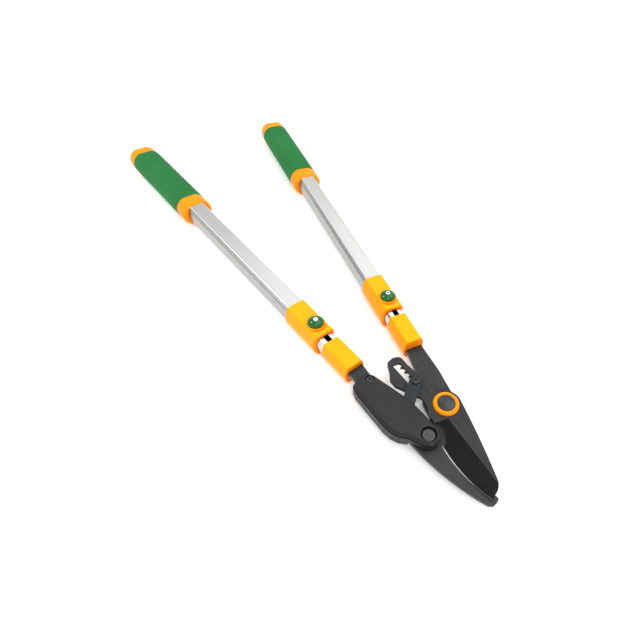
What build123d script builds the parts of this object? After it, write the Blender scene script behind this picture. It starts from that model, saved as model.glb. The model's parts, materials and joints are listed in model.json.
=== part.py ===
from build123d import *

import os
from math import asin, atan2, cos, degrees, hypot, radians, sin, sqrt

# Ratchet bypass loppers with telescopic handles, shown closed and collapsed.
# The model is laid out round the main pivot: +X runs towards the blade tip, +Y is on the
# side of the fixed handle, +Z is up, and Z = 0 is the middle of both handles. Every piece
# is moved at the end, so that the finished part stands on Z = 0 about the origin.
# All sizes are millimetres.

# --- pivots of the head, seen from above -------------------------------------------------
HANDLE_PIVOT = (18.7, -36.8)
LINK_PIVOT = (-13.0, -42.2)
RATCHET_PIN = (-37.0, -11.4)
STOP_PIN = (-20.2, 7.4)

# --- travel ------------------------------------------------------------------------------
EXTENSION = 355.0

# --- handles: where each ferrule ends and which way the handle runs from there -----------
HANDLE_FRONT = {"fixed": (-77.4, 16.9), "lever": (-84.2, -54.4)}
HANDLE_HEADING = {"fixed": 172.33, "lever": 187.4}

# stations along a handle, from the ferrule's front end
FERRULE_WALL = 6.0
FERRULE_END = 41.0
SLEEVE_FRONT = 50.3
SLEEVE_WALL = 3.5
BUTTON_STATION = 66.6
SLEEVE_END = 105.5
COLLAR_FRONT = 328.5
COLLAR_END = 348.0
GRIP_END = 477.5
HANDLE_END = 501.5
INNER_TUBE_END = 473.0
OUTER_TUBE_END = 486.0
GLIDE_LENGTH = 8.0
GLIDE_PLUG = 12.0
CAP_PLUG = 3.0
TANG_END = 38.0
TANG_BLOCK_END = 40.0
TANG_RIVETS = (16.0, 30.0)
BUSH_LENGTH = 30.0
SLOT_FRONT = 34.0
SLOT_OVERRUN = 8.0
LOCK_POSITIONS = 5
SLEEVE_SCREW_STATION = 95.0

# sections across a handle: width, height, width of the flat top, shoulder radius
INNER_TUBE = (21.8, 22.4, 14.6, 1.6)
OUTER_TUBE = (26.0, 27.0, 16.5, 2.2)
SLEEVE = (29.5, 30.5, 19.8, 1.4)
FERRULE = (25.0, 26.0, 17.4, 1.2)
GRIP_CORE = (34.0, 29.4, 16.0, 2.6)
COLLAR = (39.2, 31.2, 14.0, 5.0)
GRIP = (39.8, 32.0, 14.0, 5.0)
INNER_WALL = 1.6
OUTER_WALL = 1.2
SLIDE_CLEARANCE = 0.3
SLEEVE_ROUNDING = 2.0
SLEEVE_SHOULDER = 6.0
COLLAR_ROUNDING = 4.0
CAP_ROUNDING = 14.0
TUBE_GROOVES = ((11.1, 9.0), (9.95, 11.6))
GROOVE_SIZE = (1.4, 0.9)

# --- lock button -------------------------------------------------------------------------
SLOT_WIDTH = 6.0
LOCK_HOLE_RADIUS = 5.0
STEM_RADIUS = 2.5
LOCK_COLLAR_RADIUS = 4.7
LOCK_COLLAR_HEIGHT = 3.0
BUTTON_RADIUS = 8.3
BUTTON_BOTTOM = 18.0
BUTTON_TOP = 24.0
BUTTON_DOME_RADIUS = 11.0
BUTTON_SCREW_RADIUS = 2.7
BUTTON_SCREW_DEPTH = 1.2
BOSS_BASE_RADIUS = 11.0
BOSS_TOP_RADIUS = 10.0
BOSS_TOP = 17.7
BOSS_FLOOR = 14.4
SPRING_POCKET_RADIUS = 5.6
SPRING_POCKET_TOP = 21.2

# --- head plates, bottom and top of each -------------------------------------------------
HOOK_Z = (-3.5, 1.5)
BLADE_Z = (1.6, 5.6)
LEVER_Z = (1.6, 6.6)
LINK_TOP_Z = (6.8, 9.3)
LINK_BOTTOM_Z = (-1.2, 1.2)

ARM_HALF_WIDTH = 9.3
TANG_HALF_WIDTH = 6.4
BLADE_BOSS_RADIUS = 16.5
HOOK_BOSS_RADIUS = 16.2
HOOK_HEEL_RADIUS = 12.5
HOOK_TIP_RADIUS = 2.0
TAIL_END_RADIUS = 5.5
TAIL_CORNER_RADIUS = 2.5
LEVER_BOSS_RADIUS = 10.2

# --- main pivot --------------------------------------------------------------------------
BOLT_RADIUS = 5.0
BOLT_HEAD_RADIUS = 7.8
BOLT_HEAD_Z = (5.7, 8.2)
BUSH_RADIUS = 7.0
RUNNING_CLEARANCE = 0.05
RING_Z = (5.7, 8.9)
RING_RADIUS = 13.5
RING_TOP_RADIUS = 12.3
RING_BORE = 9.1
CAP_RADIUS = 8.95
CAP_TOP = 10.4
CAP_DOME_RADIUS = 26.0
WASHER_RADIUS = 11.0
WASHER_Z = (-5.9, -3.5)
NUT_Z = (-16.0, -5.9)
NUT_FLATS = 17.0
STOP_PIN_RADIUS = 4.4
STOP_PIN_TOP = 6.0
STOP_CLEARANCE = 0.35

# --- handle pivot rivet ------------------------------------------------------------------
RIVET_RADIUS = 4.5
RIVET_HEAD_RADIUS = 7.1
RIVET_HEAD_Z = (6.7, 9.9)
RIVET_FOOT_Z = (-6.0, -3.5)

# --- bevel of the blade ------------------------------------------------------------------
BEVEL_START = (52.0, -9.4)
BEVEL_TURN = -2.0
BEVEL_WIDTH = 22.5
EDGE_THICKNESS = 0.5
GROUND_LAND = (0.35, 0.9)

# --- toothed tail and link ---------------------------------------------------------------
NOTCH_RADIUS = 3.1
NOTCH_PITCH = 6.8
NOTCH_COUNT = 5
SLOT_TILT = 3.4
TOOTHED_SLOT_WIDTH = 5.8
PIN_RADIUS = 2.5
LINK_HALF_WIDTH = 6.4
LINK_PIN_RADIUS = 3.0
LINK_SCREW_RADIUS = 4.2

# --- covers ------------------------------------------------------------------------------
COVER_TOP = 12.0
COVER_BOTTOM = -5.4
COVER_ROOF = 9.7
COVER_FLOOR = -3.6
COVER_PARTING = 1.6
COVER_LEDGE = 7.4
COVER_LEDGE_INSET = 0.8
COVER_WALL = 2.0
COVER_NOSE_RADIUS = 12.0
COVER_NOSE_BOTTOM = 1.9
COVER_CORNER_RADIUS = 4.0
COVER_BEVEL = 2.0
COVER_LOWER_BEVEL = 1.2
NOSE_GAP = 0.6
COVER_RIVET_HOLE = 7.95
LOWER_COVER_SWEEP = 19.0
COVER_SCREW = (-62.4, -50.4)
UNDER_SCREW = (-12.0, -57.6)
COVER_SCREW_RADIUS = 1.75
COVER_SCREW_HEAD = 3.9
COVER_SCREW_RECESS = 4.45
COVER_POST_RADIUS = 5.8


def slab(outline, levels):
    """Flat plate of the given outline, between two heights."""
    return Pos(0, 0, levels[0]) * extrude(outline, levels[1] - levels[0])


def disc(centre, radius, levels):
    """Upright cylinder between two heights."""
    return slab(Pos(*centre) * Circle(radius), levels)


def barrel(width, height, flat, corner):
    """Flat-topped section with bowed sides, in the plane across a handle."""
    top = height / 2
    side = width / 2
    edges = [
        Line((-flat / 2, top), (flat / 2, top)),
        ThreePointArc((flat / 2, top), (side, 0), (flat / 2, -top)),
        Line((flat / 2, -top), (-flat / 2, -top)),
        ThreePointArc((-flat / 2, -top), (-side, 0), (-flat / 2, top)),
    ]
    section = make_face(edges)
    return fillet(section.vertices(), corner)


def grown(section, gap):
    """The same kind of section with a gap added all round (a negative gap shrinks it)."""
    width, height, flat, corner = section
    return (width + 2 * gap, height + 2 * gap, flat + 0.8 * gap, max(corner + 0.4 * gap, 0.6))


def rail(section, start, end):
    """Straight bar of a barrel section along a handle, between two stations."""
    return Pos(start, 0, 0) * extrude(Plane.YZ * barrel(*section), end - start)


def handle_place(side):
    """Place of a handle: its ferrule's front end, with local +X towards the grip."""
    x, y = HANDLE_FRONT[side]
    return Location((x, y, 0), (0, 0, HANDLE_HEADING[side]))


def handle_point(side, station, across):
    """Point seen from above, at a station along a handle and a distance across it."""
    x, y = HANDLE_FRONT[side]
    heading = radians(HANDLE_HEADING[side])
    return (
        x + station * cos(heading) - across * sin(heading),
        y + station * sin(heading) + across * cos(heading),
    )


def tang(side, levels):
    """Narrow end of an arm plate, inside the inner tube."""
    corners = [
        handle_point(side, FERRULE_WALL - 0.5, -TANG_HALF_WIDTH),
        handle_point(side, FERRULE_WALL - 0.5, TANG_HALF_WIDTH),
        handle_point(side, TANG_END, TANG_HALF_WIDTH),
        handle_point(side, TANG_END, -TANG_HALF_WIDTH),
    ]
    plate = slab(make_face(Polyline(*corners, close=True)), levels)
    for station in TANG_RIVETS:
        plate -= disc(handle_point(side, station, 0), 2.3, levels)
    return plate


# --- counter blade and what is fixed to it -----------------------------------------------
def counter_blade():
    """Hook and fixed arm, cut from one plate."""
    arm = Polyline(
        handle_point("fixed", FERRULE_WALL, -ARM_HALF_WIDTH),
        handle_point("fixed", 0, -ARM_HALF_WIDTH),
        (-37.0, 21.7),
        (-12.0, 16.6),
        (-2.0, 16.0),
        (2.0, -8.0),
        (-12.0, -9.5),
        (-22.0, -4.0),
        (-45.6, -1.0),
        handle_point("fixed", 0, ARM_HALF_WIDTH),
        handle_point("fixed", FERRULE_WALL, ARM_HALF_WIDTH),
        close=True,
    )
    heel = (10.5, -53.2)
    lug_root = (90.8, -33.2)
    beak = (92.5, -19.6)
    jaw = (27.0, -19.5)
    hook = [
        Polyline((0, 0), (-12.0, -8.0), (-17.0, -16.2), (-9.0, -18.6), (1.0, -20.3), (5.4, -25.0)),
        Polyline((5.4, -25.0), (6.3, -31.0), (6.6, -45.5), heel),
        ThreePointArc(heel, (52.0, -46.3), lug_root),
        Polyline(lug_root, (98.7, -29.5), (101.8, -26.0), (101.6, -22.4), (99.9, -17.4), (96.0, -18.0), beak),
        ThreePointArc(beak, (62.0, -27.2), jaw),
        Polyline(jaw, (15.0, -6.0), (0, 0)),
    ]
    hook_face = make_face(hook)
    hook_face = fillet([corner for corner in hook_face.vertices() if corner.X > 97], HOOK_TIP_RADIUS)
    plate = slab(make_face(arm), HOOK_Z)
    plate += slab(hook_face, HOOK_Z)
    plate += disc((0, 0), HOOK_BOSS_RADIUS, HOOK_Z)
    plate += disc(HANDLE_PIVOT, HOOK_HEEL_RADIUS, HOOK_Z)
    plate += tang("fixed", HOOK_Z)
    plate -= disc((0, 0), BOLT_RADIUS, HOOK_Z)
    plate -= disc(HANDLE_PIVOT, RIVET_RADIUS, HOOK_Z)
    plate -= disc(STOP_PIN, 3.0, HOOK_Z)
    heel_edge = [edge for edge in plate.edges().filter_by(GeomType.CIRCLE) if edge.length > 60]
    return chamfer([edge for edge in heel_edge if edge.center().Y < -35], 0.7)


def stop_pin():
    """Shouldered pin that the blade's tail rests against when the blade is closed."""
    pin = disc(STOP_PIN, 3.0, (HOOK_Z[0], HOOK_Z[1]))
    pin += disc(STOP_PIN, STOP_PIN_RADIUS, (HOOK_Z[1], STOP_PIN_TOP))
    return chamfer(pin.edges().sort_by(Axis.Z)[-1], 0.5)


def pivot_bolt():
    """Round-headed bolt of the main pivot, threaded end down."""
    shank = disc((0, 0), BOLT_RADIUS, (NUT_Z[0] + 0.8, BOLT_HEAD_Z[0]))
    head = disc((0, 0), BOLT_HEAD_RADIUS, BOLT_HEAD_Z)
    return shank + head


def pivot_washer():
    washer = disc((0, 0), WASHER_RADIUS, WASHER_Z)
    return washer - disc((0, 0), BOLT_RADIUS, WASHER_Z)


def pivot_nut():
    """Hexagonal lock nut, which carries the head on the ground."""
    hexagon = RegularPolygon(NUT_FLATS / 2, 6, major_radius=False)
    nut = slab(hexagon, NUT_Z)
    nut &= Pos(0, 0, (NUT_Z[0] + NUT_Z[1]) / 2) * Cylinder(NUT_FLATS / sqrt(3) - 0.5, NUT_Z[1] - NUT_Z[0])
    return nut - disc((0, 0), BOLT_RADIUS, NUT_Z)


def pivot_ring():
    """Tapered ring round the bolt head."""
    outline = Polyline(
        (RING_BORE, RING_Z[0]),
        (RING_RADIUS, RING_Z[0]),
        (RING_RADIUS, RING_Z[0] + 1.2),
        (RING_TOP_RADIUS, RING_Z[1]),
        (RING_BORE + 1.0, RING_Z[1]),
        (RING_BORE, RING_Z[1] - 0.8),
        close=True,
    )
    ring = revolve(Plane.XZ * make_face(outline), Axis.Z)
    return fillet(ring.edges().group_by(Axis.Z)[-1].sort_by(SortBy.LENGTH)[-1], 1.2)


def pivot_cap():
    """Domed cap pressed over the bolt head."""
    cap = disc((0, 0), CAP_RADIUS, (RING_Z[0], CAP_TOP))
    cap &= Pos(0, 0, CAP_TOP - CAP_DOME_RADIUS) * Sphere(CAP_DOME_RADIUS)
    return cap - disc((0, 0), BOLT_HEAD_RADIUS, BOLT_HEAD_Z)


def handle_rivet():
    """Rivet that joins the lever arm to the counter blade."""
    rivet = disc(HANDLE_PIVOT, RIVET_RADIUS, (RIVET_FOOT_Z[0], RIVET_HEAD_Z[1] - 0.5))
    head = disc(HANDLE_PIVOT, RIVET_HEAD_RADIUS, RIVET_HEAD_Z)
    foot = disc(HANDLE_PIVOT, RIVET_HEAD_RADIUS, RIVET_FOOT_Z)
    head = fillet(head.edges().group_by(Axis.Z)[-1], 1.3)
    foot = fillet(foot.edges().group_by(Axis.Z)[0], 1.3)
    return rivet + head + foot


# --- cutting blade -----------------------------------------------------------------------
def toothed_slot():
    """Slot in the tail with a row of notches along one edge."""
    run = NOTCH_PITCH * (NOTCH_COUNT - 1)
    channel = Pos(-run / 2, TOOTHED_SLOT_WIDTH / 2) * SlotOverall(run + TOOTHED_SLOT_WIDTH + 2, TOOTHED_SLOT_WIDTH)
    for index in range(NOTCH_COUNT):
        channel += Pos(-index * NOTCH_PITCH, 0) * Circle(NOTCH_RADIUS)
    channel = mirror(channel, Plane.XZ)
    return Pos(*RATCHET_PIN) * (Rot(0, 0, SLOT_TILT) * channel)


def cutting_blade():
    """Blade, boss and toothed tail, cut from one plate."""
    spine = (5.0, 15.7)
    nose = (86.5, -8.6)
    crown = (95.9, -21.0)
    tip = (97.9, -24.6)
    px, py = HANDLE_PIVOT
    gap_radius = COVER_NOSE_RADIUS + NOSE_GAP
    edge_start = (px + gap_radius * cos(radians(35)), py + gap_radius * sin(radians(35)))
    above_nose = (px, py + gap_radius)
    pivot_span = hypot(px, py)
    throat = (px - px / pivot_span * gap_radius, py - py / pivot_span * gap_radius)
    blade = [
        ThreePointArc(spine, (53.7, 2.2), nose),
        ThreePointArc(nose, (93.3, -14.0), crown),
        Line(crown, tip),
        ThreePointArc(tip, (62.0, -31.4), edge_start),
        ThreePointArc(edge_start, above_nose, throat),
        Polyline(throat, (9.5, -22.8), (0.9, -20.5), (-7.9, -17.5), (-15.0, -16.0), (0, 0), spine),
    ]
    tail = make_face(
        Polyline(
            (-5.0, 15.0),
            (-14.0, 6.5),
            (-34.0, -0.6),
            (-60.0, -4.8),
            (-72.4, -5.0),
            (-75.4, -12.8),
            (-73.4, -21.8),
            (-62.0, -26.3),
            (-53.5, -31.4),
            (-45.0, -30.8),
            (-31.0, -22.7),
            (-20.0, -16.8),
            (-4.0, -14.0),
            (4.0, 0.0),
            close=True,
        )
    )
    tail = fillet([corner for corner in tail.vertices() if corner.X < -70], TAIL_END_RADIUS)
    tail = fillet([corner for corner in tail.vertices() if corner.X > -65], TAIL_CORNER_RADIUS)
    plate = slab(make_face(blade), BLADE_Z)
    plate += slab(tail, BLADE_Z)
    plate += disc((0, 0), BLADE_BOSS_RADIUS, BLADE_Z)
    plate -= slab(toothed_slot(), BLADE_Z)
    plate -= disc(STOP_PIN, STOP_PIN_RADIUS + STOP_CLEARANCE, BLADE_Z)
    plate -= disc((0, 0), BUSH_RADIUS, BLADE_Z)
    plate -= bevel_cut()
    cutting_edge = plate.edges().filter_by(GeomType.ELLIPSE).sort_by(SortBy.LENGTH)[-1]
    return chamfer(cutting_edge, *GROUND_LAND)


def bevel_cut():
    """Wedge ground off the blade, from a step under the ring to the cutting edge."""
    region = Polyline((9.6, -26.0), (14.6, -4.0), (105.0, -4.0), (105.0, -40.0), (9.6, -40.0), close=True)
    bevel_drop = BLADE_Z[1] - BLADE_Z[0] - EDGE_THICKNESS
    wedge = Box(140, 60, 12, align=(Align.CENTER, Align.MAX, Align.MIN))
    wedge = Rot(0, 0, BEVEL_TURN) * (Rot(degrees(atan2(bevel_drop, BEVEL_WIDTH)), 0, 0) * wedge)
    wedge = Pos(BEVEL_START[0], BEVEL_START[1], BLADE_Z[1]) * wedge
    return wedge & slab(make_face(region), (BLADE_Z[0], BLADE_Z[1] + 1))


def blade_bush():
    """Bearing bush pressed into the blade."""
    bush = disc((0, 0), BUSH_RADIUS, BLADE_Z)
    return bush - disc((0, 0), BOLT_RADIUS + RUNNING_CLEARANCE, BLADE_Z)


# --- lever arm, covers and link ----------------------------------------------------------
def lever_outline():
    px, py = HANDLE_PIVOT
    return make_face(
        Polyline(
            handle_point("lever", FERRULE_WALL, ARM_HALF_WIDTH),
            handle_point("lever", 0, ARM_HALF_WIDTH),
            (-69.0, -61.6),
            (-40.0, -54.0),
            (px + 1.5, py - LEVER_BOSS_RADIUS + 0.2),
            (px - 1.5, py + LEVER_BOSS_RADIUS - 0.2),
            (-40.0, -37.6),
            (-69.0, -45.2),
            handle_point("lever", 0, -ARM_HALF_WIDTH),
            handle_point("lever", FERRULE_WALL, -ARM_HALF_WIDTH),
            close=True,
        )
    )


def lever_plate():
    """Lever arm before its holes are drilled."""
    plate = slab(lever_outline(), LEVER_Z)
    return plate + disc(HANDLE_PIVOT, LEVER_BOSS_RADIUS, LEVER_Z)


def lever_arm():
    plate = lever_plate() + tang("lever", LEVER_Z)
    plate -= disc(HANDLE_PIVOT, RIVET_RADIUS + RUNNING_CLEARANCE, LEVER_Z)
    plate -= disc(LINK_PIVOT, LINK_PIN_RADIUS, LEVER_Z)
    return plate - disc(COVER_SCREW, COVER_SCREW_RADIUS, LEVER_Z)


def touch_point(start, centre, radius, side):
    """Where a line from a point touches a circle; side is 1 for left of it, -1 for right."""
    dx = centre[0] - start[0]
    dy = centre[1] - start[1]
    span = hypot(dx, dy)
    reach = sqrt(span**2 - radius**2)
    turn = atan2(dy, dx) + side * asin(radius / span)
    return (start[0] + reach * cos(turn), start[1] + reach * sin(turn))


def cover_outline():
    """Outline of the two cover shells, with a round nose about the handle pivot."""
    px, py = HANDLE_PIVOT
    upper_side = (-12.0, -27.6)
    lower_side = (11.0, -54.4)
    nose_start = touch_point(upper_side, HANDLE_PIVOT, COVER_NOSE_RADIUS, 1)
    nose_end = touch_point(lower_side, HANDLE_PIVOT, COVER_NOSE_RADIUS, -1)
    edges = [
        Polyline(
            nose_end,
            lower_side,
            (4.6, -61.4),
            (-3.0, -65.4),
            (-12.0, -67.4),
            (-57.0, -70.2),
            (-66.0, -68.6),
            (-69.8, -62.0),
            (-69.4, -46.8),
            (-65.0, -43.4),
            (-33.3, -33.0),
            upper_side,
            nose_start,
        ),
        ThreePointArc(nose_start, (px + COVER_NOSE_RADIUS, py), nose_end),
    ]
    outline = make_face(edges)
    corners = [v for v in outline.vertices() if hypot(v.X - px, v.Y - py) > COVER_NOSE_RADIUS + 1]
    return fillet(corners, COVER_CORNER_RADIUS)


def screw_post(centre, levels):
    return disc(centre, COVER_POST_RADIUS, levels)


def upper_cover():
    """Upper shell: a roof with a wall round three sides, open where the link enters."""
    outline = cover_outline()
    crown = slab(offset(outline, -COVER_LEDGE_INSET), (COVER_LEDGE, COVER_TOP))
    crown = chamfer(crown.faces().sort_by(Axis.Z)[-1].outer_wire().edges(), COVER_BEVEL)
    shell = slab(outline, (COVER_PARTING, COVER_LEDGE)) + crown
    shell -= slab(offset(outline, -COVER_WALL), (COVER_PARTING, COVER_ROOF))
    shell += screw_post(COVER_SCREW, (LEVER_Z[1], COVER_ROOF))
    shell += screw_post(UNDER_SCREW, (COVER_PARTING, COVER_ROOF))
    shell -= disc(HANDLE_PIVOT, LOWER_COVER_SWEEP, (COVER_PARTING, COVER_NOSE_BOTTOM))
    shell -= lever_plate()
    shell -= link_window((COVER_PARTING, COVER_ROOF))
    shell -= disc(HANDLE_PIVOT, COVER_RIVET_HOLE, (LEVER_Z[1], COVER_TOP))
    shell -= disc(COVER_SCREW, COVER_SCREW_RECESS, (COVER_ROOF, COVER_TOP))
    shell -= disc(COVER_SCREW, COVER_SCREW_RADIUS, (LEVER_Z[1], COVER_ROOF))
    return shell - disc(UNDER_SCREW, COVER_SCREW_RADIUS, (COVER_PARTING, COVER_ROOF - 1.5))


def link_window(levels):
    """Space in the side of the cover, through which the link and the tail pass."""
    window = Polyline((-44.0, -20.0), (-44.0, -38.6), (-6.0, -33.5), (15.5, -29.0), (15.5, -20.0), close=True)
    return slab(make_face(window), levels)


def lower_cover():
    """Lower shell: a floor with a wall, cut back round the counter blade."""
    outline = cover_outline()
    shell = slab(outline, (COVER_BOTTOM, COVER_PARTING))
    rim = shell.faces().sort_by(Axis.Z)[0].outer_wire().edges()
    shell = chamfer(rim, COVER_LOWER_BEVEL)
    shell -= slab(offset(outline, -COVER_WALL), (COVER_FLOOR, COVER_PARTING))
    shell += screw_post(COVER_SCREW, (COVER_FLOOR, LEVER_Z[0]))
    shell += screw_post(UNDER_SCREW, (COVER_FLOOR, COVER_PARTING))
    shell -= disc(HANDLE_PIVOT, LOWER_COVER_SWEEP, (COVER_BOTTOM, COVER_PARTING))
    shell -= link_window((COVER_FLOOR, COVER_PARTING))
    shell -= disc(COVER_SCREW, COVER_SCREW_RADIUS, (COVER_FLOOR + 1, LEVER_Z[0]))
    shell -= disc(UNDER_SCREW, COVER_SCREW_RADIUS, (COVER_FLOOR, COVER_PARTING))
    return shell - disc(UNDER_SCREW, COVER_SCREW_RECESS, (COVER_BOTTOM, COVER_FLOOR))


def cover_screws():
    """One screw from above beside the arm and one from below beside the link pivot."""
    head_height = 1.6
    top = disc(COVER_SCREW, COVER_SCREW_HEAD, (COVER_ROOF, COVER_ROOF + head_height))
    top = fillet(top.edges().group_by(Axis.Z)[-1], 0.7)
    top += disc(COVER_SCREW, COVER_SCREW_RADIUS, (COVER_FLOOR + 1, COVER_ROOF))
    top -= slab(Pos(*COVER_SCREW) * RegularPolygon(1.5, 6), (COVER_ROOF + 0.5, COVER_TOP))
    under = disc(UNDER_SCREW, COVER_SCREW_HEAD, (COVER_FLOOR - head_height, COVER_FLOOR))
    under += disc(UNDER_SCREW, COVER_SCREW_RADIUS, (COVER_FLOOR, COVER_ROOF - 1.5))
    under -= slab(Pos(*UNDER_SCREW) * RegularPolygon(1.5, 6), (COVER_BOTTOM, COVER_FLOOR - 0.5))
    return Compound([top, under])


def link_pivot_pin():
    """Pin fixed in the lever arm, on which both link plates turn."""
    return disc(LINK_PIVOT, LINK_PIN_RADIUS, (COVER_FLOOR + 0.1, COVER_ROOF - 0.1))


def link_plate(levels):
    """One plate of the ratchet link, from the link pivot to the ratchet pin."""
    ax, ay = LINK_PIVOT
    bx, by = RATCHET_PIN
    length = sqrt((bx - ax) ** 2 + (by - ay) ** 2)
    sx = -(by - ay) / length * LINK_HALF_WIDTH
    sy = (bx - ax) / length * LINK_HALF_WIDTH
    sides = Polyline((ax + sx, ay + sy), (bx + sx, by + sy), (bx - sx, by - sy), (ax - sx, ay - sy), close=True)
    plate = slab(make_face(sides), levels)
    plate += disc(LINK_PIVOT, LINK_HALF_WIDTH, levels)
    plate += disc(RATCHET_PIN, LINK_HALF_WIDTH, levels)
    plate -= disc(LINK_PIVOT, LINK_PIN_RADIUS + RUNNING_CLEARANCE, levels)
    return plate - disc(RATCHET_PIN, PIN_RADIUS, levels)


def ratchet_pin():
    """Pin through both link plates, tapped for the screw above it."""
    pin = disc(RATCHET_PIN, PIN_RADIUS, (LINK_BOTTOM_Z[0], LINK_TOP_Z[1]))
    return pin - disc(RATCHET_PIN, 1.2, (LINK_TOP_Z[0] - 1, LINK_TOP_Z[1]))


def link_screw():
    """Cross-head screw that keeps the top link plate on the ratchet pin."""
    head = disc(RATCHET_PIN, LINK_SCREW_RADIUS, (LINK_TOP_Z[1], LINK_TOP_Z[1] + 2.2))
    head = fillet(head.edges().group_by(Axis.Z)[-1], 1.4)
    head += disc(RATCHET_PIN, 1.2, (LINK_TOP_Z[0] - 1, LINK_TOP_Z[1]))
    cross = Pos(*RATCHET_PIN) * (Rot(0, 0, 20) * (Rectangle(4.2, 0.9) + Rectangle(0.9, 4.2)))
    return head - slab(cross, (LINK_TOP_Z[1] + 1.0, LINK_TOP_Z[1] + 3))


def coil(turns, radius, wire, bottom, top):
    """Helical wire spring with its axis on Z."""
    path = Helix((top - bottom - wire) / turns, top - bottom - wire, radius, center=(0, 0, bottom + wire / 2))
    return sweep((path ^ 0) * Circle(wire / 2), path=path)


def link_spring():
    """Torsion spring on the link pivot, which presses the link into the teeth."""
    wire = 0.8
    radius = 4.6
    bottom = COVER_FLOOR + 0.15
    top = LINK_BOTTOM_Z[0] - 0.15
    body = coil(1, radius, wire, bottom, top)
    leg = Cylinder(wire / 2 - 0.05, 11, align=(Align.CENTER, Align.CENTER, Align.MIN))
    low_leg = Pos(radius, 0.4, bottom + wire / 2) * (Rot(90, 0, 0) * leg)
    high_leg = Pos(radius, -0.4, top - wire / 2) * (Rot(-90, 0, 0) * leg)
    return Pos(*LINK_PIVOT) * (body + low_leg + high_leg)


# --- handles, in their own frame: +X from the ferrule to the grip ------------------------
def arm_slot(side, start, end):
    """Space that an arm plate takes up in a ferrule's front wall."""
    levels = HOOK_Z if side == "fixed" else LEVER_Z
    height = levels[1] - levels[0]
    slot = Box(end - start, 2 * ARM_HALF_WIDTH, height, align=(Align.MIN, Align.CENTER, Align.MIN))
    return Pos(start, 0, levels[0]) * slot


def ferrule(side):
    """Plastic socket over the end of the inner tube, slotted for the arm."""
    body = rail(FERRULE, 0, FERRULE_END)
    ends = body.faces().sort_by(Axis.X)
    body = chamfer(ends[0].outer_wire().edges() + ends[-1].outer_wire().edges(), 0.8)
    body -= rail(INNER_TUBE, FERRULE_WALL, FERRULE_END)
    return body - arm_slot(side, 0, FERRULE_WALL)


def tang_block(side):
    """Nylon block that fills the tube round the tang."""
    levels = HOOK_Z if side == "fixed" else LEVER_Z
    height = levels[1] - levels[0]
    block = rail(grown(INNER_TUBE, -INNER_WALL), FERRULE_WALL, TANG_BLOCK_END)
    space = Box(TANG_END - FERRULE_WALL, 2 * TANG_HALF_WIDTH, height, align=(Align.MIN, Align.CENTER, Align.MIN))
    block -= Pos(FERRULE_WALL, 0, levels[0]) * space
    for station in TANG_RIVETS:
        block -= disc((station, 0), 2.3, (-INNER_TUBE[1], INNER_TUBE[1]))
    return block


def tang_rivets():
    """Two rivets through the inner tube, the block and the tang."""
    reach = INNER_TUBE[1] / 2
    return Compound([disc((station, 0), 2.3, (-reach, reach)) for station in TANG_RIVETS])


def inner_tube():
    """Sliding tube, slotted along its top with a wider hole at each lock position."""
    tube = rail(INNER_TUBE, FERRULE_WALL, INNER_TUBE_END)
    tube -= rail(grown(INNER_TUBE, -INNER_WALL), FERRULE_WALL, INNER_TUBE_END)
    slot_end = BUTTON_STATION + EXTENSION + SLOT_OVERRUN
    middle = (SLOT_FRONT + slot_end) / 2
    roof = (INNER_TUBE[1] / 2 - 2 * INNER_WALL, INNER_TUBE[1])
    tube -= slab(Pos(middle, 0) * SlotOverall(slot_end - SLOT_FRONT, SLOT_WIDTH), roof)
    pitch = EXTENSION / (LOCK_POSITIONS - 1)
    for index in range(LOCK_POSITIONS):
        tube -= disc((BUTTON_STATION + index * pitch, 0), LOCK_HOLE_RADIUS, roof)
    for station in TANG_RIVETS:
        tube -= disc((station, 0), 2.3, (-INNER_TUBE[1], INNER_TUBE[1]))
    return tube


def rear_glide():
    """Plug on the end of the inner tube, which guides it inside the outer tube."""
    bore = grown(OUTER_TUBE, -OUTER_WALL - SLIDE_CLEARANCE)
    glide = rail(bore, INNER_TUBE_END, INNER_TUBE_END + GLIDE_LENGTH)
    return glide + rail(grown(INNER_TUBE, -INNER_WALL), INNER_TUBE_END - GLIDE_PLUG, INNER_TUBE_END)


def outer_tube():
    """Handle tube with two fine grooves beside each shoulder."""
    start = SLEEVE_FRONT + SLEEVE_WALL
    tube = rail(OUTER_TUBE, start, OUTER_TUBE_END)
    tube -= rail(grown(OUTER_TUBE, -OUTER_WALL), start, OUTER_TUBE_END)
    groove = Box(COLLAR_FRONT - SLEEVE_END, *GROOVE_SIZE, align=(Align.MIN, Align.CENTER, Align.CENTER))
    for across, up in TUBE_GROOVES:
        for side in (-1, 1):
            for level in (-1, 1):
                tube -= Pos(SLEEVE_END, side * across, level * up) * groove
    roof = (OUTER_TUBE[1] / 2 - 2 * OUTER_WALL, OUTER_TUBE[1])
    tube -= disc((BUTTON_STATION, 0), STEM_RADIUS + SLIDE_CLEARANCE, roof)
    return tube - disc((SLEEVE_SCREW_STATION, 0), 1.75, (-OUTER_TUBE[1], -OUTER_TUBE[1] / 2 + 3))


def glide_bush():
    """Plastic bush in the mouth of the outer tube."""
    start = SLEEVE_FRONT + SLEEVE_WALL
    bush = rail(grown(OUTER_TUBE, -OUTER_WALL), start, start + BUSH_LENGTH)
    bush -= rail(grown(INNER_TUBE, SLIDE_CLEARANCE), start, start + BUSH_LENGTH)
    roof = (0, OUTER_TUBE[1])
    return bush - disc((BUTTON_STATION, 0), STEM_RADIUS + SLIDE_CLEARANCE, roof)


def shouldered_block():
    """Block as long as the sleeve, with its front corners rounded as seen from above."""
    middle = (SLEEVE_FRONT + SLEEVE_END) / 2
    outline = Pos(middle, 0) * Rectangle(SLEEVE_END - SLEEVE_FRONT, SLEEVE[0])
    outline = fillet(outline.vertices().group_by(Axis.X)[0], SLEEVE_SHOULDER)
    return slab(outline, (-SLEEVE[1] / 2, SLEEVE[1] / 2))


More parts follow.
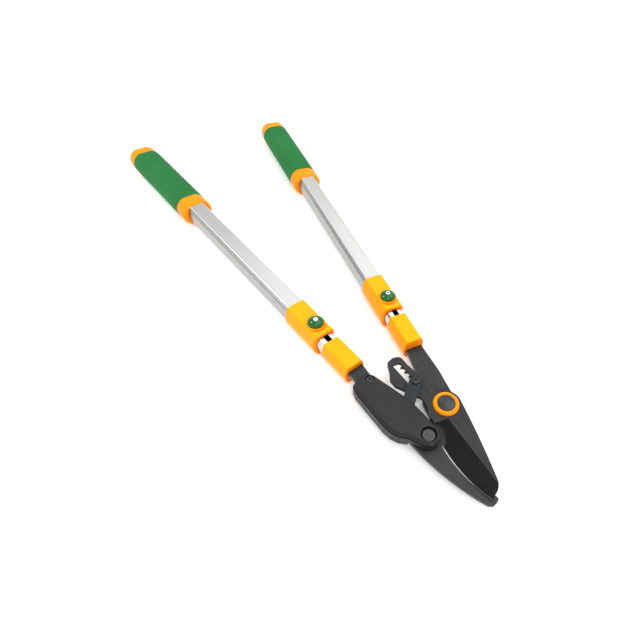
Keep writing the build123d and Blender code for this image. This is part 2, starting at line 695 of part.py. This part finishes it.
def clamp_sleeve():
    """Yellow sleeve on the mouth of the outer tube, with the raised cup of the button."""
    body = rail(SLEEVE, SLEEVE_FRONT, SLEEVE_END)
    body = fillet(body.faces().sort_by(Axis.X)[0].outer_wire().edges(), SLEEVE_ROUNDING)
    body = chamfer(body.faces().sort_by(Axis.X)[-1].outer_wire().edges(), 0.9)
    body &= shouldered_block()
    roof = SLEEVE[1] / 2
    cup = Cone(BOSS_BASE_RADIUS, BOSS_TOP_RADIUS, BOSS_TOP - roof + 1, align=(Align.CENTER, Align.CENTER, Align.MIN))
    body += Pos(BUTTON_STATION, 0, roof - 1) * cup
    body -= rail(OUTER_TUBE, SLEEVE_FRONT + SLEEVE_WALL, SLEEVE_END)
    body -= rail(grown(INNER_TUBE, SLIDE_CLEARANCE), SLEEVE_FRONT, SLEEVE_FRONT + SLEEVE_WALL)
    body -= disc((BUTTON_STATION, 0), BUTTON_RADIUS + 0.4, (BOSS_FLOOR, BOSS_TOP))
    body -= disc((BUTTON_STATION, 0), STEM_RADIUS + 0.1, (0, BOSS_FLOOR))
    return body - disc((SLEEVE_SCREW_STATION, 0), 1.75, (-SLEEVE[1] / 2, 0))


def sleeve_screw():
    """Small screw under the sleeve that keeps it on the tube."""
    tip = -OUTER_TUBE[1] / 2 + OUTER_WALL
    return disc((SLEEVE_SCREW_STATION, 0), 1.75, (-SLEEVE[1] / 2 + 0.2, tip))


def grip_core():
    """Hard core of the grip, ending in the collar that shows in front of it."""
    collar = rail(COLLAR, COLLAR_FRONT, COLLAR_END)
    collar = fillet(collar.faces().sort_by(Axis.X)[0].outer_wire().edges(), COLLAR_ROUNDING)
    core = collar + rail(GRIP_CORE, COLLAR_END, GRIP_END)
    return core - rail(OUTER_TUBE, COLLAR_FRONT, GRIP_END)


def grip_sleeve():
    """Soft green sleeve over the core."""
    sleeve = rail(GRIP, COLLAR_END, GRIP_END)
    ends = sleeve.faces().sort_by(Axis.X)
    sleeve = fillet(ends[0].outer_wire().edges() + ends[-1].outer_wire().edges(), 0.7)
    return sleeve - rail(GRIP_CORE, COLLAR_END, GRIP_END)


def end_cap():
    """Rounded cap, plugged into the end of the outer tube."""
    cap = rail(COLLAR, GRIP_END, HANDLE_END)
    cap = fillet(cap.faces().sort_by(Axis.X)[-1].outer_wire().edges(), CAP_ROUNDING)
    cap -= rail(OUTER_TUBE, GRIP_END, OUTER_TUBE_END)
    return cap + rail(grown(OUTER_TUBE, -OUTER_WALL), OUTER_TUBE_END - CAP_PLUG, OUTER_TUBE_END)


# --- lock button, in the handle's frame --------------------------------------------------
def lock_button():
    """Domed push button with a spring pocket below and a screw recess on top."""
    screw_seat = BUTTON_TOP - BUTTON_SCREW_DEPTH
    button = disc((0, 0), BUTTON_RADIUS, (BUTTON_BOTTOM, BUTTON_TOP))
    button &= Pos(0, 0, BUTTON_TOP - BUTTON_DOME_RADIUS) * Sphere(BUTTON_DOME_RADIUS)
    button -= disc((0, 0), SPRING_POCKET_RADIUS, (BUTTON_BOTTOM, SPRING_POCKET_TOP))
    button -= disc((0, 0), STEM_RADIUS, (BUTTON_BOTTOM, screw_seat))
    button -= disc((0, 0), BUTTON_SCREW_RADIUS + 0.3, (screw_seat, BUTTON_TOP))
    return Pos(BUTTON_STATION, 0, 0) * button


def lock_pin():
    """Stem of the button, with the wide collar that locks in the inner tube's holes."""
    ceiling = INNER_TUBE[1] / 2 - INNER_WALL - SLIDE_CLEARANCE
    pin = disc((0, 0), LOCK_COLLAR_RADIUS, (ceiling - LOCK_COLLAR_HEIGHT, ceiling))
    pin += disc((0, 0), STEM_RADIUS, (ceiling, BUTTON_TOP - BUTTON_SCREW_DEPTH))
    return Pos(BUTTON_STATION, 0, 0) * (pin - disc((0, 0), 1.2, (BUTTON_TOP - 6, BUTTON_TOP)))


def lock_screw():
    """Screw that holds the button on its stem."""
    screw_seat = BUTTON_TOP - BUTTON_SCREW_DEPTH
    head = disc((0, 0), BUTTON_SCREW_RADIUS, (screw_seat, BUTTON_TOP))
    head = fillet(head.edges().group_by(Axis.Z)[-1], 0.6)
    head += disc((0, 0), 1.2, (BUTTON_TOP - 6, screw_seat))
    return Pos(BUTTON_STATION, 0, 0) * (head - slab(RegularPolygon(1.3, 6), (BUTTON_TOP - 0.8, BUTTON_TOP)))


def lock_spring():
    """Spring between the sleeve's cup and the button."""
    return Pos(BUTTON_STATION, 0, 0) * coil(4, 4.2, 0.9, BOSS_FLOOR + 0.05, SPRING_POCKET_TOP - 0.05)


def head_nodes():
    return {
        "counter_blade": counter_blade(),
        "stop_pin": stop_pin(),
        "pivot_bolt": pivot_bolt(),
        "pivot_washer": pivot_washer(),
        "pivot_nut": pivot_nut(),
        "pivot_ring": pivot_ring(),
        "pivot_cap": pivot_cap(),
        "handle_rivet": handle_rivet(),
        "cutting_blade": cutting_blade(),
        "blade_bush": blade_bush(),
        "lever_arm": lever_arm(),
        "upper_cover": upper_cover(),
        "lower_cover": lower_cover(),
        "cover_screws": cover_screws(),
        "link_pivot_pin": link_pivot_pin(),
        "link_top_plate": link_plate(LINK_TOP_Z),
        "link_bottom_plate": link_plate(LINK_BOTTOM_Z),
        "ratchet_pin": ratchet_pin(),
        "link_screw": link_screw(),
        "link_spring": link_spring(),
    }


def handle_nodes(side):
    pieces = {
        "ferrule": ferrule(side),
        "tang_block": tang_block(side),
        "tang_rivets": tang_rivets(),
        "inner_tube": inner_tube(),
        "rear_glide": rear_glide(),
        "outer_tube": outer_tube(),
        "glide_bush": glide_bush(),
        "clamp_sleeve": clamp_sleeve(),
        "sleeve_screw": sleeve_screw(),
        "grip_core": grip_core(),
        "grip_sleeve": grip_sleeve(),
        "end_cap": end_cap(),
        "lock_button": lock_button(),
        "lock_pin": lock_pin(),
        "lock_screw": lock_screw(),
        "lock_spring": lock_spring(),
    }
    return {f"{side}_{name}": handle_place(side) * piece for name, piece in pieces.items()}


def bottom_centre(pieces):
    """Middle of the underside of the box round all pieces."""
    boxes = [piece.bounding_box() for piece in pieces]
    low = [min(getattr(box.min, axis) for box in boxes) for axis in "XYZ"]
    high = [max(getattr(box.max, axis) for box in boxes) for axis in "XYZ"]
    return ((low[0] + high[0]) / 2, (low[1] + high[1]) / 2, low[2])


nodes = {**head_nodes(), **handle_nodes("fixed"), **handle_nodes("lever")}
ORIGIN = bottom_centre(nodes.values())

os.makedirs("parts", exist_ok=True)
for name, piece in nodes.items():
    placed = Pos(-ORIGIN[0], -ORIGIN[1], -ORIGIN[2]) * piece
    export_step(placed, f"parts/{name}.step")
print("main pivot at", [round(-value, 3) for value in ORIGIN])
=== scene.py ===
import json
from math import atan2

import bpy
from mathutils import Matrix, Vector


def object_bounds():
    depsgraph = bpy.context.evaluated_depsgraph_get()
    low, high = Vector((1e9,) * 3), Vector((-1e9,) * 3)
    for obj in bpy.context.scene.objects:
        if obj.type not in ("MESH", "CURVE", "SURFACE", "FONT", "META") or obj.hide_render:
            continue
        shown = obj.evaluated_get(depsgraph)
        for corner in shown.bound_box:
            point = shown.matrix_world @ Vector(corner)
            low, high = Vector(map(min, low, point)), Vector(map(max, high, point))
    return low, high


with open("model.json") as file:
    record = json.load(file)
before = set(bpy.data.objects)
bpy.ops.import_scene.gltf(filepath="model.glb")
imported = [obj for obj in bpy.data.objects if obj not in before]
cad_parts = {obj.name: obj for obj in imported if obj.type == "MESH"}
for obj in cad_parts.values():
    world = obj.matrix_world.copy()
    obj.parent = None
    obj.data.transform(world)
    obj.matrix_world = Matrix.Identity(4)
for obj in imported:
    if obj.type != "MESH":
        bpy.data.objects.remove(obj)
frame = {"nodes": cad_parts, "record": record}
CAD_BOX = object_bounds()
JOINTS = {joint["name"]: joint for joint in frame["record"]["behaviour"]["joints"]}
PIVOT = Vector(JOINTS["blade_pivot"]["pos_m"])
HANDLE_PIVOT = Vector(JOINTS["lever_pivot"]["pos_m"])
SIDES = ("fixed", "lever")

# --- lights: name, place, disc diameter in metres and power in watts, all aimed at the origin --
LIGHTS = (
    ("key", (0.3, 0.9, 1.5), 1.6, 10.0),
    ("tube_top", (-0.85, 0.5, 1.2), 0.9, 1.75),
    ("front", (1.5, -0.1, 0.55), 0.6, 3.0),
    ("near_left", (-0.49, -0.71, 0.81), 0.22, 3.0),
    ("near_right", (0.66, -0.17, 1.08), 0.2, 2.0),
)
WORLD_STRENGTH = 0.8

# --- floor -------------------------------------------------------------------------------
FLOOR_SIZE = 8.0
FLOOR_GLOW = 0.28
FLOOR_TONES = ((0.90, 0.90, 0.90), (0.92, 0.92, 0.92))

# --- camera: where it stands from the main pivot, and its axes ---------------------------
EYE_FROM_PIVOT = Vector((0.14759, -0.20264, 0.40429))
EYE_RIGHT = Vector((0.58315, 0.80564, 0.10432))
EYE_UP = Vector((-0.66379, 0.39852, 0.63291))
EYE_BACK = Vector((0.46832, -0.43833, 0.76717))
SENSOR_WIDTH = 36.0
FOCAL_LENGTH = 26.483
LENS_SHIFT = (-0.1514, 0.025)
NEAR_CLIP = 0.01

# --- reach of the painted shade where parts meet, in metres ------------------------------
PLASTIC_CREVICE = 0.006
RUBBER_CREVICE = 0.004
METAL_CREVICE = 0.003

# --- cutting blade: zones by distance from the handle pivot, in metres -------------------
POLISH_STARTS = (0.0165, 0.0185)
LAND_FADES = (0.040, 0.062)
FADED_LAND = 0.12


def scaled(colour, factor):
    return tuple(factor * part for part in colour)


# --- materials ---------------------------------------------------------------------------
class Paint:
    """A node material under construction."""

    def __init__(self, name, turn=0.0):
        self.mat = bpy.data.materials.new(name)
        self.mat.use_nodes = True
        self.tree = self.mat.node_tree
        self.tree.nodes.clear()
        self.out = self.tree.nodes.new("ShaderNodeOutputMaterial")
        self.shader = self.tree.nodes.new("ShaderNodeBsdfPrincipled")
        self.tree.links.new(self.shader.outputs["BSDF"], self.out.inputs["Surface"])
        coords = self.tree.nodes.new("ShaderNodeTexCoord")
        turned = self.tree.nodes.new("ShaderNodeMapping")
        turned.inputs["Rotation"].default_value = (0, 0, -turn)
        self.tree.links.new(coords.outputs["Object"], turned.inputs["Vector"])
        self.place = turned.outputs["Vector"]
        self.bumps = None

    def put(self, node, key, value):
        """Give an input a value, or link it where the value is another node's output."""
        if isinstance(value, bpy.types.NodeSocket):
            self.tree.links.new(value, node.inputs[key])
        elif value is not None:
            node.inputs[key].default_value = value

    def set(self, **values):
        """Set inputs of the shader, with underscores in place of spaces."""
        for key, value in values.items():
            self.put(self.shader, key.replace("_", " "), value)

    def stretched(self, scale):
        node = self.tree.nodes.new("ShaderNodeMapping")
        node.inputs["Scale"].default_value = scale
        self.put(node, "Vector", self.place)
        return node.outputs["Vector"]

    def noise(self, scale, detail=3.0, rough=0.55, stretch=None):
        node = self.tree.nodes.new("ShaderNodeTexNoise")
        self.put(node, "Vector", self.stretched(stretch) if stretch else self.place)
        self.put(node, "Scale", scale)
        self.put(node, "Detail", detail)
        self.put(node, "Roughness", rough)
        return node.outputs["Fac"]

    def cells(self, scale):
        node = self.tree.nodes.new("ShaderNodeTexVoronoi")
        self.put(node, "Vector", self.place)
        self.put(node, "Scale", scale)
        return node.outputs["Distance"]

    def math(self, kind, a, b=None):
        node = self.tree.nodes.new("ShaderNodeMath")
        node.operation = kind
        self.put(node, 0, a)
        self.put(node, 1, b)
        return node.outputs[0]

    def span(self, value, low, high, to_low=0.0, to_high=1.0):
        """Map low..high to to_low..to_high, and clamp outside it."""
        node = self.tree.nodes.new("ShaderNodeMapRange")
        self.put(node, "Value", value)
        self.put(node, "From Min", low)
        self.put(node, "From Max", high)
        self.put(node, "To Min", to_low)
        self.put(node, "To Max", to_high)
        return node.outputs["Result"]

    def mix(self, factor, a, b):
        """Colour a at factor 0 and colour b at factor 1."""
        node = self.tree.nodes.new("ShaderNodeMix")
        node.data_type = "RGBA"
        self.put(node, 0, factor)
        for key, value in ((6, a), (7, b)):
            self.put(node, key, (*value, 1.0) if isinstance(value, tuple) else value)
        return node.outputs[2]

    def xyz(self, source):
        node = self.tree.nodes.new("ShaderNodeSeparateXYZ")
        self.put(node, 0, source)
        return node.outputs

    def away_from(self, point):
        node = self.tree.nodes.new("ShaderNodeVectorMath")
        node.operation = "DISTANCE"
        self.put(node, 0, self.place)
        self.put(node, 1, point)
        return node.outputs["Value"]

    def normal(self):
        node = self.tree.nodes.new("ShaderNodeTexCoord")
        return self.xyz(node.outputs["Normal"])

    def levelness(self):
        """1 on faces that look straight up or down, and 0 on upright ones."""
        return self.math("ABSOLUTE", self.normal()["Z"])

    def bump(self, height, strength, distance):
        """Add relief on top of what the material has already."""
        node = self.tree.nodes.new("ShaderNodeBump")
        self.put(node, "Height", height)
        self.put(node, "Strength", strength)
        self.put(node, "Distance", distance)
        self.put(node, "Normal", self.bumps)
        self.bumps = node.outputs["Normal"]
        self.put(self.shader, "Normal", self.bumps)

    def crevice(self, reach):
        """Near 0 where other surfaces are closer than the reach, and 1 in the open."""
        node = self.tree.nodes.new("ShaderNodeAmbientOcclusion")
        self.put(node, "Distance", reach)
        node.samples = 8
        return node.outputs["AO"]


def moulded(
    name, colour, shade, crevice_shade_colour, roughness, coat=0.0, specular=0.1, flank_shade=None, front=None
):
    """Moulded plastic: fine grain and faint cloudiness, with painted shade on the upright flanks,
    a painted shade tint on faces turned towards +X, and painted shade where parts meet.
    """
    paint = Paint(name)
    cloud = paint.span(paint.noise(35.0, 4.0), 0.35, 0.65)
    tone = paint.mix(cloud, colour, shade)
    facing = paint.normal()
    # painted shade: upright faces turn to a deeper flank colour, as if lit less than the level
    # ones
    if flank_shade:
        level = paint.math("ABSOLUTE", facing["Z"])
        tone = paint.mix(paint.span(level, 0.9, 0.3), tone, flank_shade)
    # painted shade: faces turned towards +X get a redder tint, as if shaded and lit by warm bounce
    # light
    if front:
        tone = paint.mix(paint.span(facing["X"], 0.45, 0.85), tone, front)
    # painted shade: colour deepens where other surfaces are close, from an ambient occlusion mask
    crevice_shade = paint.span(paint.crevice(PLASTIC_CREVICE), 0.25, 0.9)
    paint.set(Base_Color=paint.mix(crevice_shade, crevice_shade_colour, tone))
    mottle = paint.noise(260.0, 5.0)
    paint.set(Roughness=paint.span(mottle, 0.3, 0.7, roughness - 0.05, roughness + 0.08))
    paint.set(Specular_IOR_Level=specular, Coat_Weight=coat, Coat_Roughness=0.08)
    paint.bump(paint.noise(1500.0), strength=0.35, distance=0.00004)
    paint.bump(paint.noise(90.0, 2.0), strength=0.12, distance=0.0002)
    return paint.mat


def drawn_tube(name, colour, shade, shoulder_highlight, flank_shade, roughness, turn):
    """Drawn aluminium: fine lines along the tube, a painted highlight on the rounded shoulders and
    painted shade on the flanks.
    """
    paint = Paint(name, turn)
    lines = paint.noise(1.0, 5.0, 0.7, stretch=(6.0, 1400.0, 1400.0))
    broad = paint.noise(1.0, 3.0, 0.5, stretch=(4.0, 220.0, 220.0))
    level = paint.levelness()
    tone = paint.mix(paint.span(lines, 0.3, 0.7), shade, colour)
    # painted highlight on the rounded shoulders, and painted shade on the upright flanks
    tone = paint.mix(paint.span(level, 0.98, 0.93), tone, shoulder_highlight)
    paint.set(Base_Color=paint.mix(paint.span(level, 0.80, 0.60), tone, flank_shade))
    paint.set(Roughness=paint.span(broad, 0.3, 0.7, roughness - 0.04, roughness + 0.07))
    paint.set(Metallic=1.0)
    paint.bump(lines, strength=0.12, distance=0.00002)
    return paint.mat


def plain_metal(name, colour, roughness, crevice_shade_tone=0.35):
    """Plated or ground steel with a fine grain and painted shade where parts meet."""
    paint = Paint(name)
    polish = paint.span(paint.noise(120.0, 5.0), 0.3, 0.7, 0.86, 1.08)
    cloud = paint.span(paint.noise(40.0), 0.3, 0.7)
    shade = paint.mix(cloud, scaled(colour, 0.8), colour)
    # painted shade: colour darkens where other surfaces are close, from an ambient occlusion mask
    crevice_shade = paint.span(paint.crevice(METAL_CREVICE), 0.1, 0.8)
    paint.set(Base_Color=paint.mix(crevice_shade, scaled(colour, crevice_shade_tone), shade))
    paint.set(Roughness=paint.math("MULTIPLY", polish, roughness))
    paint.set(Metallic=1.0)
    paint.bump(paint.noise(600.0, 4.0), strength=0.25, distance=0.00003)
    return paint.mat


def black_steel(name, colour, edge_colour, roughness):
    """Coated plate: soft mottling on the faces, and a barer, brighter cut edge."""
    paint = Paint(name)
    cut = paint.span(paint.levelness(), 0.85, 0.4)
    paint.set(Base_Color=paint.mix(cut, worn_face(paint, colour), edge_colour))
    mottle = paint.noise(90.0, 5.0, 0.6)
    paint.set(Roughness=paint.span(mottle, 0.3, 0.7, roughness - 0.07, roughness + 0.1))
    paint.set(Metallic=0.2, Specular_IOR_Level=0.3)
    paint.bump(paint.noise(1300.0), strength=0.3, distance=0.00003)
    paint.bump(paint.noise(60.0, 2.0), strength=0.1, distance=0.0003)
    return paint.mat


def worn_face(paint, colour):
    """Colour of a coated face, with scuffs that run along the tool and fine specks."""
    streaks = paint.noise(1.0, 6.0, 0.7, stretch=(60.0, 240.0, 240.0))
    specks = paint.span(paint.noise(900.0, 4.0, 0.7), 0.66, 0.78, 0.0, 0.6)
    face = paint.mix(paint.span(streaks, 0.4, 0.75), colour, scaled(colour, 1.45))
    return paint.mix(specks, face, scaled(colour, 2.4))


def ground_blade(name, colour, bevel_colour, land_colour):
    """Coated blade: grey faces, a darker polished bevel and a bare land along the edge."""
    paint = Paint(name)
    up = paint.normal()["Z"]
    bevel = paint.span(up, 0.996, 0.992)
    beyond_boss = paint.span(paint.away_from(HANDLE_PIVOT), *POLISH_STARTS)
    polished = paint.math("MULTIPLY", bevel, beyond_boss)
    land = paint.math("MULTIPLY", paint.span(up, 0.945, 0.925), paint.span(up, 0.78, 0.82))
    fade = paint.span(paint.away_from(HANDLE_PIVOT), *LAND_FADES, 1.0, FADED_LAND)
    land = paint.math("MULTIPLY", land, fade)
    side = paint.span(up, 0.72, 0.5)
    wear = paint.span(paint.noise(1.0, 4.0, 0.6, stretch=(50.0, 50.0, 50.0)), 0.35, 0.65)
    strokes = paint.noise(1.0, 4.0, 0.6, stretch=(300.0, 40.0, 300.0))
    bright = paint.mix(wear, land_colour, scaled(land_colour, 0.5))
    dark = paint.mix(paint.span(strokes, 0.3, 0.7), bevel_colour, scaled(bevel_colour, 1.6))
    tone = paint.mix(polished, worn_face(paint, colour), dark)
    tone = paint.mix(side, tone, colour)
    paint.set(Base_Color=paint.mix(land, tone, bright))
    matte = paint.span(paint.noise(90.0, 5.0, 0.6), 0.3, 0.7, 0.34, 0.48)
    gloss = paint.span(strokes, 0.3, 0.7, 0.16, 0.26)
    polish = paint.math("MULTIPLY", bevel, paint.math("SUBTRACT", gloss, matte))
    paint.set(Roughness=paint.math("ADD", matte, polish))
    paint.set(Metallic=paint.math("MULTIPLY", land, 0.95), Specular_IOR_Level=0.12)
    paint.bump(strokes, strength=0.1, distance=0.00003)
    return paint.mat


def rubber(name, colour, shade):
    """Soft grip rubber with a fine pebbled skin and painted shade where parts meet."""
    paint = Paint(name)
    cloud = paint.span(paint.noise(22.0, 4.0), 0.3, 0.7)
    pebbles = paint.cells(900.0)
    # painted shade: colour darkens where other surfaces are close, from an ambient occlusion mask
    crevice_shade = paint.span(paint.crevice(RUBBER_CREVICE), 0.2, 0.95)
    tone = paint.mix(cloud, colour, shade)
    paint.set(Base_Color=paint.mix(crevice_shade, scaled(shade, 0.5), tone))
    paint.set(Roughness=paint.span(paint.noise(200.0, 4.0), 0.3, 0.7, 0.62, 0.78))
    paint.set(Specular_IOR_Level=0.12)
    paint.bump(pebbles, strength=0.35, distance=0.00012)
    paint.bump(paint.noise(1800.0, 2.0), strength=0.3, distance=0.00005)
    return paint.mat


# plastics: colour, shade and painted shade colour where parts meet
YELLOW = ((0.98, 0.47, 0.004), (0.96, 0.435, 0.004), (0.95, 0.20, 0.002))
# painted shade: flank colour for upright yellow faces, as if lit less than the tops
YELLOW_FLANK_SHADE = (0.96, 0.37, 0.002)
# painted shade: redder tint for yellow faces turned towards +X
YELLOW_FRONT_SHADE = (0.97, 0.24, 0.001)
ORANGE = ((0.97, 0.345, 0.004), (0.95, 0.315, 0.004), (0.90, 0.17, 0.002))
# painted shade: flank colour for upright orange faces
ORANGE_FLANK_SHADE = (0.93, 0.28, 0.003)
BUTTON_GREEN = ((0.003, 0.125, 0.022), (0.002, 0.108, 0.018), (0.001, 0.04, 0.008))
COVER_BLACK = ((0.027, 0.027, 0.029), (0.021, 0.021, 0.023), (0.008, 0.008, 0.009))
# painted shade: flank colour for the upright faces of the black cover
COVER_FLANK_SHADE = (0.015, 0.015, 0.016)
CAP_BLACK = ((0.026, 0.026, 0.027), (0.020, 0.020, 0.021), (0.008, 0.008, 0.008))
NYLON = ((0.03, 0.03, 0.03), (0.022, 0.022, 0.022), (0.01, 0.01, 0.01))
# grip rubber: colour and shade
GRIP_GREEN = ((0.026, 0.195, 0.052), (0.021, 0.165, 0.043))
# aluminium: colour, shade between the lines, painted shoulder highlight and painted flank shade
SATIN = ((0.66, 0.66, 0.645), (0.56, 0.56, 0.55), (0.96, 0.96, 0.94), (0.40, 0.40, 0.39))
BRIGHT = ((0.74, 0.73, 0.71), (0.56, 0.55, 0.53), (0.88, 0.87, 0.85), (0.55, 0.54, 0.52))
# coated steel: face and cut edge, and for the blade face, bevel and land
PLATE_BLACK = ((0.028, 0.028, 0.030), (0.06, 0.06, 0.064))
LINK_BLACK = ((0.018, 0.021, 0.027), (0.05, 0.055, 0.065))
BLADE_BLACK = ((0.034, 0.034, 0.036), (0.006, 0.006, 0.006), (0.80, 0.79, 0.76))

LOOKS = {
    "yellow": moulded("yellow_plastic", *YELLOW, 0.36, flank_shade=YELLOW_FLANK_SHADE, front=YELLOW_FRONT_SHADE),
    "orange": moulded("orange_plastic", *ORANGE, 0.36, flank_shade=ORANGE_FLANK_SHADE),
    "green_button": moulded("green_button", *BUTTON_GREEN, 0.14, coat=0.7),
    "green_grip": rubber("green_rubber", *GRIP_GREEN),
    "black_cover": moulded("black_cover", *COVER_BLACK, 0.36, specular=0.22, flank_shade=COVER_FLANK_SHADE),
    "black_cap": moulded("black_cap", *CAP_BLACK, 0.3, specular=0.5),
    "nylon": moulded("nylon", *NYLON, 0.5),
    "plate": black_steel("coated_plate", *PLATE_BLACK, 0.38),
    "link": black_steel("blued_link", *LINK_BLACK, 0.3),
    "blade": ground_blade("coated_blade", *BLADE_BLACK),
    "zinc": plain_metal("bright_zinc", (0.60, 0.60, 0.61), 0.26),
    "screw": plain_metal("bright_screw", (0.90, 0.90, 0.88), 0.22, crevice_shade_tone=0.12),
    "dark": plain_metal("dark_steel", (0.068, 0.069, 0.071), 0.22),
    "bronze": plain_metal("bearing_bronze", (0.55, 0.36, 0.16), 0.4),
}
for side in SIDES:
    along = JOINTS[side + "_extension"]["axis"]
    turn = atan2(along[1], along[0])
    LOOKS[side + "_satin"] = drawn_tube(side + "_satin_tube", *SATIN, 0.30, turn)
    LOOKS[side + "_bright"] = drawn_tube(side + "_bright_tube", *BRIGHT, 0.16, turn)

LOOK_OF = {
    "counter_blade": "plate",
    "lever_arm": "plate",
    "cutting_blade": "blade",
    "blade_bush": "bronze",
    "stop_pin": "plate",
    "pivot_bolt": "zinc",
    "pivot_washer": "zinc",
    "pivot_nut": "zinc",
    "pivot_ring": "orange",
    "pivot_cap": "black_cap",
    "handle_rivet": "dark",
    "upper_cover": "black_cover",
    "lower_cover": "black_cover",
    "cover_screws": "dark",
    "link_pivot_pin": "zinc",
    "link_top_plate": "link",
    "link_bottom_plate": "link",
    "ratchet_pin": "zinc",
    "link_screw": "dark",
    "link_spring": "zinc",
}
HANDLE_LOOKS = {
    "ferrule": "yellow",
    "clamp_sleeve": "yellow",
    "grip_core": "orange",
    "end_cap": "orange",
    "grip_sleeve": "green_grip",
    "lock_button": "green_button",
    "tang_block": "nylon",
    "glide_bush": "nylon",
    "rear_glide": "nylon",
    "tang_rivets": "zinc",
    "sleeve_screw": "zinc",
    "lock_pin": "zinc",
    "lock_screw": "screw",
    "lock_spring": "zinc",
}
for side in SIDES:
    LOOK_OF.update({f"{side}_{piece}": look for piece, look in HANDLE_LOOKS.items()})
    LOOK_OF[side + "_outer_tube"] = side + "_satin"
    LOOK_OF[side + "_inner_tube"] = side + "_bright"
for name, thing in frame["nodes"].items():
    thing.data.materials.clear()
    thing.data.materials.append(LOOKS[LOOK_OF[name]])


# --- floor, light and camera -------------------------------------------------------------
def stage_floor():
    """Pale floor under the tool, faintly lit from within so that it reads as white."""
    bpy.ops.mesh.primitive_plane_add(size=FLOOR_SIZE, location=(0, 0, CAD_BOX[0][2]))
    floor = bpy.context.object
    floor.name = "floor"
    paint = Paint("pale_floor")
    paint.set(Base_Color=paint.mix(paint.noise(3.0, 2.0), *FLOOR_TONES))
    paint.set(Roughness=0.7, Specular_IOR_Level=0.1, Emission_Strength=FLOOR_GLOW)
    paint.set(Emission_Color=(1.0, 1.0, 1.0, 1.0))
    floor.data.materials.append(paint.mat)


def area_light(name, place, size, power):
    """Round area light at a place, aimed at the origin."""
    data = bpy.data.lights.new(name, "AREA")
    data.shape = "DISK"
    data.size = size
    data.energy = power
    lamp = bpy.data.objects.new(name, data)
    bpy.context.collection.objects.link(lamp)
    lamp.location = place
    lamp.rotation_euler = (-Vector(place)).to_track_quat("-Z", "Y").to_euler()


def studio():
    stage_floor()
    world = bpy.data.worlds.new("studio")
    bpy.context.scene.world = world
    world.use_nodes = True
    sky = world.node_tree.nodes["Background"].inputs
    sky["Color"].default_value = (1.0, 1.0, 1.0, 1.0)
    sky["Strength"].default_value = WORLD_STRENGTH
    for light in LIGHTS:
        area_light(*light)
    bpy.context.scene.view_settings.view_transform = "Standard"


def camera():
    """Camera above the blade tip, on the lever's side, looking back along the tool."""
    data = bpy.data.cameras.new("camera")
    data.sensor_width = SENSOR_WIDTH
    data.lens = FOCAL_LENGTH
    data.shift_x, data.shift_y = LENS_SHIFT
    data.clip_start = NEAR_CLIP
    eye = bpy.data.objects.new("camera", data)
    bpy.context.collection.objects.link(eye)
    turn = Matrix((EYE_RIGHT, EYE_UP, EYE_BACK)).transposed().to_4x4()
    eye.matrix_world = Matrix.Translation(PIVOT + EYE_FROM_PIVOT) @ turn
    bpy.context.scene.camera = eye


studio()
camera()
